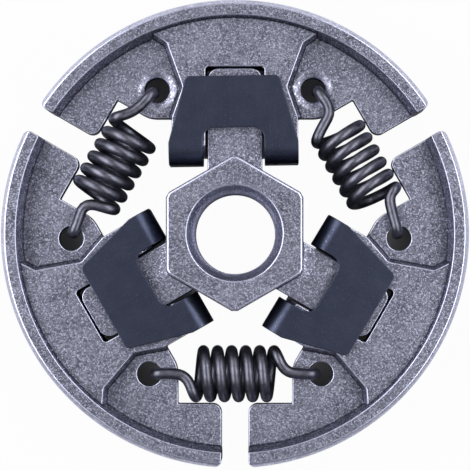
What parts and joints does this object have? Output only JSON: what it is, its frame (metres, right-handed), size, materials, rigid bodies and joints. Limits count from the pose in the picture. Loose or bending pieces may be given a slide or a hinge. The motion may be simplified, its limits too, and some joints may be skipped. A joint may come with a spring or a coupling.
{
  "type": "chainsaw clutch",
  "caption": "Centrifugal clutch for a chainsaw: sintered shoes on the arms of a threaded hexagon hub, kept in line by folded retainers and pulled in by hooked coil springs.",
  "frame": {"origin": "on the crank axis, in the plane of the hub's back face and the backs of the shoe rims", "axes": "+Z along the crank axis towards the front with the hexagon, +Y through the middle of shoe_1"},
  "size_m": [0.065, 0.0649, 0.015],
  "materials": {
    "sintered_steel_carrier": "grainy sintered steel",
    "sintered_steel_shoe": "grainy sintered steel",
    "blued_sheet_steel": "satin blue-black",
    "black_spring_steel": "oiled black"
  },
  "bodies": {
    "carrier": {"carrier": "sintered_steel_carrier", "spring_1": "black_spring_steel", "spring_2": "black_spring_steel", "spring_3": "black_spring_steel"},
    "shoe_set_1": {"shoe_1": "sintered_steel_shoe", "retainer_1": "blued_sheet_steel"},
    "shoe_set_2": {"shoe_2": "sintered_steel_shoe", "retainer_2": "blued_sheet_steel"},
    "shoe_set_3": {"shoe_3": "sintered_steel_shoe", "retainer_3": "blued_sheet_steel"}
  },
  "joints": [
    {"name": "shoe_slide_1", "type": "slide", "parent": "carrier", "child": "shoe_set_1", "axis": [0, 1, 0], "range_m": [0, 0.0015], "stiffness_N_per_m": 10000, "springref_m": -0.0015, "deforming": ["spring_1", "spring_3"]},
    {"name": "shoe_slide_2", "type": "slide", "parent": "carrier", "child": "shoe_set_2", "axis": [-0.866, -0.5, 0], "range_m": [0, 0.0015], "stiffness_N_per_m": 10000, "springref_m": -0.0015, "deforming": ["spring_1", "spring_2"]},
    {"name": "shoe_slide_3", "type": "slide", "parent": "carrier", "child": "shoe_set_3", "axis": [0.866, -0.5, 0], "range_m": [0, 0.0015], "stiffness_N_per_m": 10000, "springref_m": -0.0015, "deforming": ["spring_2", "spring_3"]}
  ]
}
